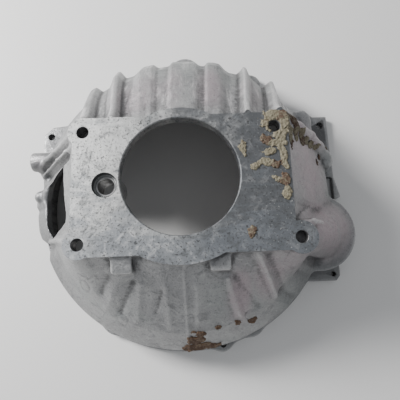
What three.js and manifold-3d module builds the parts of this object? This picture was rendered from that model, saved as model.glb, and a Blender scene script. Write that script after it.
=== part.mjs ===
// Clutch bell housing of a manual transmission, a die-cast aluminium casting with a few fitted pieces.
// Millimetres, +Z up. It stands on its engine flange with the gearbox face on top, as on a bench.
// The casting is drawn around the input shaft's axis, and the whole group is then centred on its
// footprint. The one real casting is cut into its named regions, a hair's width apart.
import * as THREE from 'three';
import { ConvexGeometry } from 'three/addons/geometries/ConvexGeometry.js';
import { ParametricGeometry } from 'three/addons/geometries/ParametricGeometry.js';
import { mergeVertices } from 'three/addons/utils/BufferGeometryUtils.js';
import Module from 'manifold-3d';

// Heights above the engine flange
const DEPTH = 160;            // engine flange to gearbox face, 6.3 in
const PLATE_BOTTOM = 148;     // underside of the gearbox face plate
const SKIRT_TOP = 154;        // where the bell wall leaves the plate's edge
const CREASE_Z = 80;
const SHOULDER_Z = 45;
const FLANGE_TOP = 12;
const GAP = 0.3;              // between two regions of the casting

// Radii from the input shaft's axis
const BORE_R = 61.6;          // 4.85 in bearing retainer bore
const CREASE_R = 165;
const SHOULDER_R = 190;
const WALL_FOOT_R = 193;
const CAVITY_R = 184;         // clears a 164 tooth flywheel
const CAVITY_CREASE_R = 156;
const FLANGE_R = 198;
const PLATE_WALL = 8;

// Gearbox face: outline, bolt holes and the shaft hole beside the bore
const FACE = { left: -110.5, right: 113.5, top: 64.4, bottom: -80, corner: 8, topArc: 73, bottomArc: 90.5 };
const BOLT_R = 6;
const PADS = {
  upperLeft: { x: -99.8, y: 48.7, r: 15.6 },
  upperRight: { x: 99.8, y: 48.7, r: 13 },
  lowerRight: { x: 118.2, y: -67.5, r: 16.5 },
  lowerLeft: { x: -102.6, y: -67.5, r: 14.8 },
};
const SHAFT_HOLE = { x: -76.6, y: -8.1, counterboreR: 12.4, sinkZ: 153, r: 10.6, bossR: 16, bossZ: 120 };
const SLEEVE = { outerR: 10.3, innerR: 8.8, bottomZ: 124, topZ: 152.6 };

// Engine side
const STARTER = { x: 170, y: -52, r: 49.5, z: 45, wall: 6 };
const LINKAGE_BOSS = { y: 54, z: 50, r: 12.5, holeR: 5, endX: -198, rootX: -178 };
const DOWEL = { x: 190.5, y: 0, outerR: 5.8, innerR: 4.2, depth: 10 };
const EARS = {
  upperLeft: {
    hole: [-192, 104],
    holeR: 5,
    outline: [[-203, 60], [-203, 107], [-190, 119], [-172, 121], [-140, 130], [-150, 90]],
  },
  upperRight: {
    hole: [199.8, 107.2],
    holeR: 5.1,
    outline: [[150, 118], [186, 125.5], [190, 121.5], [210.5, 121.5], [211, 62], [170, 62]],
  },
  lowerRight: {
    hole: [197, -106],
    holeR: 3.2,
    outline: [[150, -110], [166, -115], [201, -115], [206.5, -108], [206.5, -88], [165, -70]],
  },
};
const FLANGE_BOSSES = [
  { x: 5, y: 200, r: 23.5, holeR: 5.5 }, { x: 101, y: 176, r: 17, holeR: 5.5 },
  { x: -98, y: -160, r: 12, holeR: 4 }, { x: 83.3, y: -170, r: 12, holeR: 4 },
  { x: 43, y: -187, r: 13, holeR: 4 },
];
const FLANGE_RIGHT = [[150, 60], [212, 62], [212, 30], [219, 0], [150, -20]];
const STARTER_RIM = 4;        // flange around the starter nose
const SIDE_POCKET = { low: [192, -3, 5], high: [209, 29, 60] };
const SCREW_HOLE = { y: 3, z: 46, r: 2, fromX: -205, toX: -184 };

// Flat slope right of the face, the column at its upper corner and the lobe behind that
const SLOPE = { footX: 186, footZ: 50, lowY: -28, highY: 64, wall: 8, pocketX: 172, pocketHighY: 54 };
const COLUMN = { x: 190, y: 41, r: 8.5, top: 52 };
const LOBE = {
  outline: [[120, 96], [148, 118], [170, 120], [177, 113], [179, 104], [178, 62], [140, 60]],
  top: 42,
};

// Straight ribs on the left wall: upper end, lower end, radius and how far each reaches down into the wall
const LEFT_RIBS = [
  { top: [-112, 53, 150], foot: [-187, 43, 51], r: 5, depth: 30 },
  { top: [-112, 37, 154], foot: [-180, 31, 60], r: 3.6, depth: 10 },
  { top: [-120, 29, 143], foot: [-170, 13, 75], r: 2.6, depth: 6 },
];

// Fork window, as (y, z) corners of a hole cut straight through the left wall
const WINDOW = [[24, 122], [13, 84], [-3, 78], [-34, 80], [-45, 86], [-38, 131], [-32, 134], [8, 126]];

// Flutes on the upper wall: position along the face's top edge, half width, height
const FLUTES = [
  [-105, 5.5, 11], [-71.5, 5.5, 13], [-37, 8, 8], [3, 12, 8],
  [36.5, 8.5, 9.5], [72.5, 5.5, 15], [107, 5.5, 15],
];
const FLUTE_FAN_Y = -430;     // the flutes' lines meet here, so that they fan out slightly
const FLUTE_TOP = { y: 58, z: 157 };
const FLUTE_FOOT_Z = 13;
const LUG = { places: [-61, 37.5], halfWidth: 10.6, innerY: -76, outerY: -97, bottom: 128, top: 147 };
const FAR = 300;              // beyond every part of the housing

const wasm = await Module();
wasm.setup();

const aluminium = (color, roughness) => (
  new THREE.MeshStandardMaterial({ color, roughness, metalness: 0.85 })
);
const MATERIALS = {
  cast: aluminium(0x9b9ea2, 0.55),
  machined: aluminium(0xa9adb2, 0.4),
  steel: new THREE.MeshStandardMaterial({ color: 0x8f9194, roughness: 0.35, metalness: 1 }),
};

// ---- solids from three.js geometry ----

function solid(geometry) {
  geometry.deleteAttribute('normal');
  geometry.deleteAttribute('uv');
  const merged = mergeVertices(geometry, 1e-4);
  const corners = merged.index.array;
  const triangles = [];
  for (let i = 0; i < corners.length; i += 3) {
    const [a, b, c] = [corners[i], corners[i + 1], corners[i + 2]];
    if (a !== b && b !== c && c !== a) triangles.push(a, b, c);
  }
  return new wasm.Manifold(new wasm.Mesh({
    numProp: 3,
    vertProperties: new Float32Array(merged.attributes.position.array),
    triVerts: new Uint32Array(triangles),
  }));
}

function prism(shape, bottom, top) {
  const settings = { depth: top - bottom, bevelEnabled: false, curveSegments: 10 };
  return solid(new THREE.ExtrudeGeometry(shape, settings).translate(0, 0, bottom));
}

function cylinder(x, y, r, bottom, top, sides = 24) {
  const geometry = new THREE.CylinderGeometry(r, r, top - bottom, sides).rotateX(Math.PI / 2);
  return solid(geometry.translate(x, y, (bottom + top) / 2));
}

function block(low, high) {
  const size = high.map((value, i) => value - low[i]);
  const middle = high.map((value, i) => (value + low[i]) / 2);
  return solid(new THREE.BoxGeometry(...size).translate(...middle));
}

const hull = (points) => solid(new ConvexGeometry(points.map((p) => new THREE.Vector3(...p))));

const ring = (x, y, r, z, sides = 20) => Array.from({ length: sides }, (_, i) => {
  const angle = (2 * Math.PI * i) / sides;
  return [x + r * Math.cos(angle), y + r * Math.sin(angle), z];
});

function polygon(points) {
  return new THREE.Shape(points.map(([x, y]) => new THREE.Vector2(x, y)));
}

// ---- outline of the gearbox face ----

// Runs clockwise: pads at three corners are round, the upper and lower edges bow around the bore.
function faceOutline() {
  const { left, right, top, bottom, corner, topArc, bottomArc } = FACE;
  const { upperLeft: ul, lowerRight: lr, lowerLeft: ll } = PADS;
  const shape = new THREE.Shape();
  const topAngle = Math.asin(top / topArc);
  const bottomAngle = Math.asin(-bottom / bottomArc);
  const lrBottom = Math.asin((bottom - lr.y) / lr.r);
  const llBottom = Math.asin((bottom - ll.y) / ll.r);
  shape.absarc(0, 0, topArc, Math.PI - topAngle, topAngle, true);
  shape.absarc(right - corner, top - corner, corner, Math.PI / 2, 0, true);
  shape.absarc(lr.x, lr.y, lr.r, Math.acos((right - lr.x) / lr.r), -Math.PI - lrBottom, true);
  shape.absarc(0, 0, bottomArc, -bottomAngle, bottomAngle - Math.PI, true);
  shape.absarc(ll.x, ll.y, ll.r, llBottom, Math.acos((left - ll.x) / ll.r) - 2 * Math.PI, true);
  shape.absarc(ul.x, ul.y, ul.r, -Math.acos((left - ul.x) / ul.r), -1.5 * Math.PI, true);
  return shape;
}

// Distance from the shaft's axis to a closed outline, along one direction
function reach(points, angle) {
  const [dx, dy] = [Math.cos(angle), Math.sin(angle)];
  let far = 0;
  points.forEach((a, i) => {
    const b = points[(i + 1) % points.length];
    const [ex, ey] = [b.x - a.x, b.y - a.y];
    const det = ex * dy - ey * dx;
    if (Math.abs(det) < 1e-9) return;
    const along = (a.y * dx - a.x * dy) / det;
    const distance = (ex * a.y - ey * a.x) / det;
    if (along >= 0 && along <= 1) far = Math.max(far, distance);
  });
  return far;
}

// A solid around the shaft's axis, its radius given at each height by a function of the angle
function turned(levels, steps = 144) {
  const last = levels.length + 1;
  const geometry = new ParametricGeometry((u, v, target) => {
    const level = last - Math.round(u * last);
    const angle = (2 * Math.PI * (Math.round(v * steps) % steps)) / steps;
    const { z, r } = levels[Math.min(Math.max(level - 1, 0), levels.length - 1)];
    const radius = level === 0 || level === last ? 0 : r(angle);
    target.set(radius * Math.cos(angle), radius * Math.sin(angle), z);
  }, last, steps);
  return solid(geometry);
}

// ---- the casting ----

function bellOuter(facePoints) {
  return turned([
    { z: FLANGE_TOP - 6, r: () => WALL_FOOT_R },
    { z: SHOULDER_Z, r: () => SHOULDER_R },
    { z: CREASE_Z, r: () => CREASE_R },
    { z: SKIRT_TOP, r: (angle) => reach(facePoints, angle) },
  ]);
}

function bellCavity(facePoints) {
  return turned([
    { z: -1, r: () => CAVITY_R },
    { z: SHOULDER_Z, r: () => CAVITY_R },
    { z: CREASE_Z - 2, r: () => CAVITY_CREASE_R },
    { z: PLATE_BOTTOM, r: (angle) => reach(facePoints, angle) - PLATE_WALL },
  ]);
}

// One flute: a bar with a rounded crest, from the face's edge over the shoulder to the flange
function flute([at, halfWidth, height]) {
  const fan = (y) => (at * (y - FLUTE_FAN_Y)) / (FACE.top - FLUTE_FAN_Y);
  const rows = [];
  for (const side of [-1, -0.6, 0.6, 1]) {
    const lift = Math.abs(side) === 1 ? -3 : height;
    const x = at + side * halfWidth * 0.8;
    rows.push([x, FLUTE_TOP.y, SKIRT_TOP - 14]);
    rows.push([x, FACE.top + 1, Math.min(FLUTE_TOP.z, SKIRT_TOP - 4 + lift)]);
    const reachY = (r) => Math.sqrt(Math.max(r * r - fan(r) ** 2, 0));
    const shoulderY = reachY(SHOULDER_R) + lift;
    const footX = fan(shoulderY) + side * halfWidth;
    rows.push([footX, shoulderY, SHOULDER_Z + 6], [footX, shoulderY + 1, FLUTE_FOOT_Z]);
    rows.push([footX, shoulderY - height - 8, FLUTE_FOOT_Z]);
  }
  return hull(rows);
}

function starterOuter() {
  const { x, y, r, z } = STARTER;
  const pad = PADS.lowerRight;
  return hull([...ring(x, y, r + 2, FLANGE_TOP - 6), ...ring(x, y, r, z), ...ring(x, y, r * 0.7, z + 16),
    ...ring(pad.x + 4, pad.y + 6, pad.r - 4, SKIRT_TOP - 8)]);
}

function starterPocket() {
  const { x, y, r, z, wall } = STARTER;
  const inner = r - wall;
  return hull([...ring(x, y, inner, -1), ...ring(x, y, inner, z - 2), ...ring(x, y, inner * 0.7, z + 8),
    ...ring(x - 45, y - 6, 8, z + 46)]);
}

// The flat slope beside the face, down to the flange
function rightSlope() {
  const { footX, footZ, lowY, highY } = SLOPE;
  const corners = (x, z) => [[x, lowY, z], [x, highY, z]];
  const innerX = FACE.right - PLATE_WALL;
  return hull([...corners(innerX, SKIRT_TOP - 2), ...corners(FACE.right, SKIRT_TOP), ...corners(footX, footZ),
    ...corners(footX, FLANGE_TOP - 2), ...corners(innerX, FLANGE_TOP - 2)]);
}

// The hollow behind that slope, which keeps it a wall
function slopePocket() {
  const { footX, footZ, lowY, wall, pocketX, pocketHighY } = SLOPE;
  const inside = FACE.right - 2 * wall;
  const corners = (x, z) => [[x, lowY + wall, z], [x, pocketHighY, z]];
  const foot = (z) => [[footX - wall - 2, lowY + wall, z], [pocketX, pocketHighY, z]];
  return hull([...corners(inside, SKIRT_TOP - 2 * wall), ...corners(inside + 4, SKIRT_TOP - 2 * wall),
    ...foot(footZ - 6), ...foot(FLANGE_TOP), ...corners(inside, FLANGE_TOP)]);
}

// The web along the slope's upper edge, the column that it ends on and the lobe behind it
function rightCrest() {
  const { x, y, r, top } = COLUMN;
  const low = FLANGE_TOP - 2;
  const start = { x: FACE.right - 4, y: FACE.top - r / 2 };
  const bend = { x: SLOPE.footX - 8, y: start.y - 2 };
  const rim = (at, z) => ring(at.x, at.y, r - 2, z);
  const post = (z) => ring(x, y, r, z);
  const web = hull([...rim(start, SKIRT_TOP), ...rim(bend, top + 10), ...rim(start, CREASE_Z), ...rim(bend, low)]);
  const knee = hull([...rim(bend, top + 10), ...post(top), ...rim(bend, low), ...post(low)]);
  return web.add(knee).add(prism(polygon(LOBE.outline), FLANGE_TOP - 2, LOBE.top));
}

function leftRib({ top, foot, r, depth }) {
  const lower = ([x, y, z]) => ring(x, y, r, Math.max(z - depth, FLANGE_TOP));
  return hull([...ring(...top.slice(0, 2), r, top[2]), ...ring(...foot.slice(0, 2), r, foot[2]),
    ...lower(top), ...lower(foot)]);
}

// Raised rim on the engine side of the fork window, with the dust cover's screw boss
function windowRim() {
  const rim = [[-176, 14, 60], [-173, -40, 60], [-188, 8, FLANGE_TOP], [-187, -40, FLANGE_TOP]];
  const screwBoss = ring(-184, 4, 9, 48);
  return hull([...rim.flatMap(([x, y, z]) => ring(x, y, 6, z)), ...screwBoss]);
}

function windowHole() {
  const depth = -FACE.left;
  const geometry = new THREE.ExtrudeGeometry(polygon(WINDOW), { depth, bevelEnabled: false });
  return solid(geometry.rotateX(Math.PI / 2).rotateZ(Math.PI / 2).translate(FACE.left - depth, 0, 0));
}

function alongX(y, z, r, low, high) {
  const geometry = new THREE.CylinderGeometry(r, r, high - low, 24).rotateZ(Math.PI / 2);
  return solid(geometry.translate((low + high) / 2, y, z));
}

// Small pads on the bowl just below the face's lower edge
function lug(x) {
  const { halfWidth, innerY, outerY, bottom, top } = LUG;
  const corners = (y, z) => [[x - halfWidth, y, z], [x + halfWidth, y, z]];
  return hull([...corners(innerY, top), ...corners(outerY + 4, top), ...corners(outerY, top - 5),
    ...corners(outerY, bottom), ...corners(innerY, bottom)]);
}

function flangePlate() {
  const discs = [...FLANGE_BOSSES, { x: STARTER.x, y: STARTER.y, r: STARTER.r + STARTER_RIM }];
  let plate = cylinder(0, 0, FLANGE_R, 0, FLANGE_TOP, 96).add(prism(polygon(FLANGE_RIGHT), 0, FLANGE_TOP));
  for (const disc of discs) plate = plate.add(cylinder(disc.x, disc.y, disc.r, 0, FLANGE_TOP));
  for (const ear of Object.values(EARS)) plate = plate.add(prism(polygon(ear.outline), 0, FLANGE_TOP));
  return plate;
}

function facePlate(outline) {
  const { x, y, counterboreR, sinkZ } = SHAFT_HOLE;
  let plate = prism(outline, PLATE_BOTTOM, DEPTH).subtract(cylinder(x, y, counterboreR, sinkZ, DEPTH + 1));
  plate = plate.add(cylinder(x, y, SHAFT_HOLE.bossR, SHAFT_HOLE.bossZ, PLATE_BOTTOM + 1));
  return plate;
}

function holes() {
  const { x, y, r, bossZ } = SHAFT_HOLE;
  const boss = LINKAGE_BOSS;
  const drilled = [
    cylinder(0, 0, BORE_R, PLATE_BOTTOM - 20, DEPTH + 1, 96),
    cylinder(x, y, r, bossZ - 1, DEPTH + 1),
    alongX(boss.y, boss.z, boss.holeR, boss.endX - 1, boss.endX + 14),
    block(SIDE_POCKET.low, SIDE_POCKET.high),
    alongX(SCREW_HOLE.y, SCREW_HOLE.z, SCREW_HOLE.r, SCREW_HOLE.fromX, SCREW_HOLE.toX),
  ];
  for (const pad of Object.values(PADS)) {
    drilled.push(cylinder(pad.x, pad.y, BOLT_R, PLATE_BOTTOM - 24, DEPTH + 1));
  }
  for (const ear of Object.values(EARS)) {
    drilled.push(cylinder(...ear.hole, ear.holeR, -1, FLANGE_TOP + 30));
  }
  for (const b of FLANGE_BOSSES) {
    const out = 1 + (b.r - b.holeR) / Math.hypot(b.x, b.y) * 0.4;
    drilled.push(cylinder(b.x * out, b.y * out, b.holeR, -1, FLANGE_TOP + 1));
  }
  for (const side of [-1, 1]) {
    drilled.push(cylinder(side * DOWEL.x, DOWEL.y, DOWEL.outerR + GAP, -1, DOWEL.depth));
  }
  return drilled;
}

function casting() {
  const outline = faceOutline();
  const facePoints = outline.getPoints(10);
  const boss = LINKAGE_BOSS;
  const above = block([-FAR, -FAR, DEPTH - 1], [FAR, FAR, DEPTH + 60]).subtract(prism(outline, 0, DEPTH));
  let body = bellOuter(facePoints).add(starterOuter()).add(rightSlope()).add(rightCrest()).add(windowRim());
  for (const rib of LEFT_RIBS) body = body.add(leftRib(rib));
  for (const row of FLUTES) body = body.add(flute(row));
  for (const x of LUG.places) body = body.add(lug(x));
  body = body.add(alongX(boss.y, boss.z, boss.r, boss.endX, boss.rootX)).add(flangePlate());
  body = body.subtract(bellCavity(facePoints)).subtract(starterPocket()).subtract(slopePocket());
  body = body.subtract(windowHole()).subtract(above).add(facePlate(outline));
  for (const hole of holes()) body = body.subtract(hole);
  return body;
}

// ---- its named regions ----

// A wedge around the shaft's axis between two angles in degrees, half a gap clear of each
function wedge(from, to, bottom, top) {
  const [a, b] = [THREE.MathUtils.degToRad(from), THREE.MathUtils.degToRad(to)];
  const middle = (a + b) / 2;
  const back = GAP / 2 / Math.sin((b - a) / 2);
  const arc = Array.from({ length: 7 }, (_, i) => {
    const angle = a + ((b - a) * i) / 6;
    return [FAR * Math.cos(angle), FAR * Math.sin(angle)];
  });
  const shift = ([x, y]) => [x + back * Math.cos(middle), y + back * Math.sin(middle)];
  return prism(polygon([[0, 0], ...arc].map(shift)), bottom, top);
}

const WALLS = [
  ['starter_nose', -36, 0], ['right_slope_wall', 0, 29], ['upper_right_wall', 29, 50],
  ['fluted_wall_right', 50, 75], ['fluted_wall_centre', 75, 103], ['fluted_wall_left', 103, 128],
  ['upper_left_wall', 128, 167], ['fork_window_wall', 167, 203], ['lower_bowl_far_left', 203, 236],
  ['lower_bowl_left', 236, 270], ['lower_bowl_right', 270, 300], ['lower_bowl_far_right', 300, 324],
];
const FLANGE_QUARTERS = [
  ['engine_flange_top', 45, 135], ['engine_flange_left', 135, 225],
  ['engine_flange_bottom', 225, 329], ['engine_flange_right', 329, 405],
];
const EAR_ZONES = [
  ['flange_ear_upper_left', [-230, 58], [-130, 140]],
  ['flange_ear_upper_right', [140, 63], [230, 140]],
  ['flange_ear_lower_right', [155, -140], [230, -80]],
];

const BOSS_ZONE_X = -188.5;   // where the linkage boss is parted from the wall
const HALF = GAP / 2;

function bossZone(grow) {
  const { y, z, r, endX } = LINKAGE_BOSS;
  const half = r + 2 + grow;
  return block([endX - 5, y - half, z - half], [BOSS_ZONE_X + grow, y + half, z + half]);
}

function shaftZone(grow) {
  const { x, y, bossR, bossZ } = SHAFT_HOLE;
  return cylinder(x, y, bossR + 1 + grow, bossZ - 20, PLATE_BOTTOM - HALF);
}

// An ear's own block, clear of the flange's disc and of the starter nose's
function earZone([, low, high], grow) {
  const clear = GAP - grow;
  const discs = cylinder(0, 0, FLANGE_R + clear, -10, 60, 96)
    .add(cylinder(STARTER.x, STARTER.y, STARTER.r + STARTER_RIM + clear, -10, 60, 32));
  return block([low[0] - grow, low[1] - grow, -5], [high[0] + grow, high[1] + grow, 50]).subtract(discs);
}

function regions() {
  const faceSlab = block([-FAR, -FAR, PLATE_BOTTOM + HALF], [FAR, FAR, DEPTH + 10]);
  const flangeSlab = block([-FAR, -FAR, -5], [FAR, FAR, FLANGE_TOP - HALF]);
  const list = [
    ['gearbox_face_plate', faceSlab, 'machined'],
    ['shaft_boss', shaftZone(0), 'cast'],
    ['linkage_boss', bossZone(0), 'cast'],
  ];
  for (const [name, from, to] of WALLS) {
    const zone = wedge(from, to, FLANGE_TOP + HALF, PLATE_BOTTOM - HALF);
    list.push([name, zone.subtract(shaftZone(GAP)).subtract(bossZone(GAP)), 'cast']);
  }
  for (const [name, from, to] of FLANGE_QUARTERS) {
    let zone = wedge(from, to, -5, FLANGE_TOP - HALF);
    for (const ear of EAR_ZONES) zone = zone.subtract(earZone(ear, GAP));
    list.push([name, zone, 'cast']);
  }
  for (const ear of EAR_ZONES) list.push([ear[0], earZone(ear, 0).intersect(flangeSlab), 'cast']);
  return list;
}

// ---- fitted pieces ----

function sleeve() {
  const { x, y } = SHAFT_HOLE;
  const { outerR, innerR, bottomZ, topZ } = SLEEVE;
  return cylinder(x, y, outerR, bottomZ, topZ, 32).subtract(cylinder(x, y, innerR, bottomZ - 1, topZ + 1, 32));
}

// Hollow locating dowel, flush with the engine flange
function dowel(side) {
  const { x, y, outerR, innerR, depth } = DOWEL;
  return cylinder(side * x, y, outerR, 0, depth - GAP).subtract(cylinder(side * x, y, innerR, -1, depth + 1));
}

// ---- assembly ----

function mesh(name, manifold, material) {
  const { vertProperties, triVerts } = manifold.getMesh();
  const geometry = new THREE.BufferGeometry();
  geometry.setAttribute('position', new THREE.BufferAttribute(vertProperties, 3));
  geometry.setIndex(new THREE.BufferAttribute(triVerts, 1));
  const piece = new THREE.Mesh(geometry, MATERIALS[material]);
  piece.name = name;
  return piece;
}

const bell = new THREE.Group();
const cast = casting();
for (const [name, zone, material] of regions()) bell.add(mesh(name, cast.intersect(zone), material));
bell.add(mesh('shaft_sleeve', sleeve(), 'steel'));
bell.add(mesh('dowel_ring_left', dowel(-1), 'steel'));
bell.add(mesh('dowel_ring_right', dowel(1), 'steel'));

const footprint = new THREE.Box3().setFromObject(bell);
const middle = footprint.getCenter(new THREE.Vector3());
bell.position.set(-middle.x, -middle.y, 0);

const housing = new THREE.Group();
housing.add(bell);
export default housing;
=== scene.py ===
"""A weathered die-cast aluminium clutch bell housing, lying on its engine flange on a pale floor.

The casting is one skin: distance fields for its bell wall, flutes, webs, bosses and flange are blended
on a grid, so that they join in soft cast fillets, and the machined faces and bores are cut afterwards.
Lengths are millimetres around the input shaft's axis until a mesh is made, which is in metres.
"""

import math

import bmesh
import bpy
import numpy as np
import openvdb
from mathutils import Matrix, Vector, noise


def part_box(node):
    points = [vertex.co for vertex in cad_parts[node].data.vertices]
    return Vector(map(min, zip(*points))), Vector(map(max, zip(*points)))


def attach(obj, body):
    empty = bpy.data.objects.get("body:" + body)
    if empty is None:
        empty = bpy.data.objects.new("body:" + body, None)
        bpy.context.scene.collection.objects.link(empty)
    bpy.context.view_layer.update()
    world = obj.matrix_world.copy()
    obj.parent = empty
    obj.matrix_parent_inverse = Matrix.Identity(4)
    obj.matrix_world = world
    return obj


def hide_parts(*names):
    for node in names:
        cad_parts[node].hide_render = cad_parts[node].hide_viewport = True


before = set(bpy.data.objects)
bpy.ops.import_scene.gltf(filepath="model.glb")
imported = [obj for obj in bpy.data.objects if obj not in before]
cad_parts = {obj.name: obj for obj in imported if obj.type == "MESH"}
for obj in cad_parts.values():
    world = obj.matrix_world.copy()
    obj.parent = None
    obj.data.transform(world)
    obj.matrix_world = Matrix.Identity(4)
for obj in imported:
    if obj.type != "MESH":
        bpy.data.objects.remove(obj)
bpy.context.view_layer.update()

MM = 0.001
STEP = 1.25    # grid spacing of the casting's skin
SKIN_FACES = 190_000

# Heights above the engine flange
DEPTH = 160.0
PLATE_BOTTOM = 148.0
SKIRT_TOP = 154.0
CREASE_Z = 80.0
SHOULDER_Z = 45.0
FLANGE_TOP = 12.0

# Radii from the input shaft's axis
BORE_R = 61.6
CREASE_R = 165.0
SHOULDER_R = 190.0
WALL_FOOT_R = 193.0
CAVITY_R = 184.0
CAVITY_CREASE_R = 156.0
FLANGE_R = 198.0
PLATE_WALL = 8.0

# Gearbox face
FACE_LEFT, FACE_RIGHT, FACE_TOP, FACE_BOTTOM = -110.5, 113.5, 64.4, -80.0
FACE_CORNER, TOP_ARC, BOTTOM_ARC = 8.0, 73.0, 90.5
BOLT_R = 6.0
PADS = {"upper_left": (-99.8, 48.7, 15.6), "upper_right": (99.8, 48.7, 13.0),
        "lower_right": (118.2, -67.5, 16.5), "lower_left": (-102.6, -67.5, 14.8)}
SHAFT_HOLE = (-76.6, -8.1)
COUNTERBORE_R, COUNTERBORE_Z, SHAFT_HOLE_R, SHAFT_BOSS_R, SHAFT_BOSS_Z = 12.4, 153.0, 10.6, 16.0, 120.0

# The input shaft's axis lies midway between the two dowel rings
dowels = [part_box(name) for name in ("dowel_ring_left", "dowel_ring_right")]
AXIS = sum((low + high for low, high in dowels), Vector()) / 4
AXIS.z = 0


def to_metres(points):
    """Points in millimetres around the shaft's axis, as metres in the frame."""
    return np.asarray(points, float) * MM + np.array(AXIS)


# ---------------------------------------------------------------- distance fields

LOW = np.array([-206.0, -206.0, -4.0])
HIGH = np.array([229.0, 229.0, 166.0])
COUNT = np.ceil((HIGH - LOW) / STEP).astype(int) + 1
AXES = [LOW[i] + STEP * np.arange(COUNT[i]) for i in range(3)]
X, Y, Z = np.meshgrid(*AXES, indexing="ij", sparse=True)
X, Y, Z = (a.astype(np.float32) for a in (X, Y, Z))


def smooth_min(a, b, k):
    h = np.maximum(k - np.abs(a - b), 0) / k
    return np.minimum(a, b) - h * h * k * 0.25


def smooth_max(a, b, k):
    return -smooth_min(-a, -b, k)


def smoothstep(low, high, value):
    t = np.clip((value - low) / (high - low), 0, 1)
    return (t * t * (3 - 2 * t)).astype(np.float32)


def disc(x, y, cx, cy, r):
    return np.hypot(x - cx, y - cy) - r


def slab(z, low, high):
    return np.abs(z - (low + high) / 2) - (high - low) / 2


def prism(flat, z, low, high):
    """A flat outline's field, raised between two heights."""
    return np.maximum(flat, slab(z, low, high))


def cone(x, y, z, a, b, ra, rb):
    """A bar between two points, its radius going from ra to rb."""
    a, b = np.array(a, np.float32), np.array(b, np.float32)
    along = b - a
    t = ((x - a[0]) * along[0] + (y - a[1]) * along[1] + (z - a[2]) * along[2]) / along.dot(along)
    t = np.clip(t, 0, 1)
    away = np.sqrt((x - a[0] - t * along[0]) ** 2 + (y - a[1] - t * along[1]) ** 2
                   + (z - a[2] - t * along[2]) ** 2)
    return away - (ra + (rb - ra) * t)


def bar(x, y, z, points, radii):
    """A chain of cones through several points."""
    field = None
    for a, b, ra, rb in zip(points, points[1:], radii, radii[1:]):
        link = cone(x, y, z, a, b, ra, rb)
        field = link if field is None else smooth_min(field, link, 4)
    return field


def box(x, y, z, low, high, rounding=2.0):
    q = [np.abs(c - (a + b) / 2) - (b - a) / 2 + rounding for c, a, b in zip((x, y, z), low, high)]
    outside = np.sqrt(sum(np.maximum(c, 0) ** 2 for c in q))
    return outside + np.minimum(np.maximum(np.maximum(q[0], q[1]), q[2]), 0) - rounding


def polygon(x, y, points):
    """Signed distance to a closed outline, negative inside."""
    far = np.full(np.broadcast(x, y).shape, 1e9, np.float32)
    inside = np.ones_like(far)
    for (ax, ay), (bx, by) in zip(points, np.roll(points, -1, axis=0)):
        ex, ey = bx - ax, by - ay
        wx, wy = x - ax, y - ay
        t = np.clip((wx * ex + wy * ey) / (ex * ex + ey * ey), 0, 1)
        far = np.minimum(far, (wx - ex * t) ** 2 + (wy - ey * t) ** 2)
        above, below = y >= ay, y < by
        left = ex * wy > ey * wx
        inside = np.where((above & below & left) | (~above & ~below & ~left), -inside, inside)
    return (inside * np.sqrt(far)).astype(np.float32)


def arc(cx, cy, r, start, end, steps=14):
    return [(cx + r * math.cos(t), cy + r * math.sin(t)) for t in np.linspace(start, end, steps)]


def face_outline():
    """Clockwise outline of the gearbox face: round pads at three corners, edges bowed around the bore."""
    ulx, uly, ulr = PADS["upper_left"]
    lrx, lry, lrr = PADS["lower_right"]
    llx, lly, llr = PADS["lower_left"]
    top = math.asin(FACE_TOP / TOP_ARC)
    bottom = math.asin(-FACE_BOTTOM / BOTTOM_ARC)
    lr_start = math.acos((FACE_RIGHT - lrx) / lrr)
    lr_end = -math.pi - math.asin((FACE_BOTTOM - lry) / lrr)
    ll_end = math.acos((FACE_LEFT - llx) / llr) - 2 * math.pi
    ul_start = -math.acos((FACE_LEFT - ulx) / ulr)
    return np.array(
        arc(0, 0, TOP_ARC, math.pi - top, top)
        + arc(FACE_RIGHT - FACE_CORNER, FACE_TOP - FACE_CORNER, FACE_CORNER, math.pi / 2, 0, 6)
        + arc(lrx, lry, lrr, lr_start, lr_end, 20)
        + arc(0, 0, BOTTOM_ARC, -bottom, bottom - math.pi)
        + arc(llx, lly, llr, math.asin((FACE_BOTTOM - lly) / llr), ll_end, 20)
        + arc(ulx, uly, ulr, ul_start, -1.5 * math.pi))


FACE = face_outline()


class Casting:
    """The distance field on the grid. Local shapes are worked out only in the part of the grid they touch."""

    def __init__(self):
        self.values = None
        self.outside = None    # the same field before the inside is hollowed out

    def part(self, low, high, pad):
        cut = []
        for axis, a, b in zip(AXES, low, high):
            first = max(int(np.searchsorted(axis, a - pad)) - 1, 0)
            last = int(np.searchsorted(axis, b + pad)) + 1
            cut.append(slice(first, last))
        coords = X[cut[0]], Y[:, cut[1]], Z[:, :, cut[2]]
        return tuple(cut), coords

    def add(self, shape, low, high, k=4.0):
        cut, coords = self.part(low, high, k + 3)
        self.values[cut] = smooth_min(self.values[cut], shape(*coords), k)

    def cut(self, shape, low, high, k=1.5):
        cut, coords = self.part(low, high, k + 3)
        self.values[cut] = smooth_max(self.values[cut], -shape(*coords), k)


# ---------------------------------------------------------------- bell wall

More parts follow.
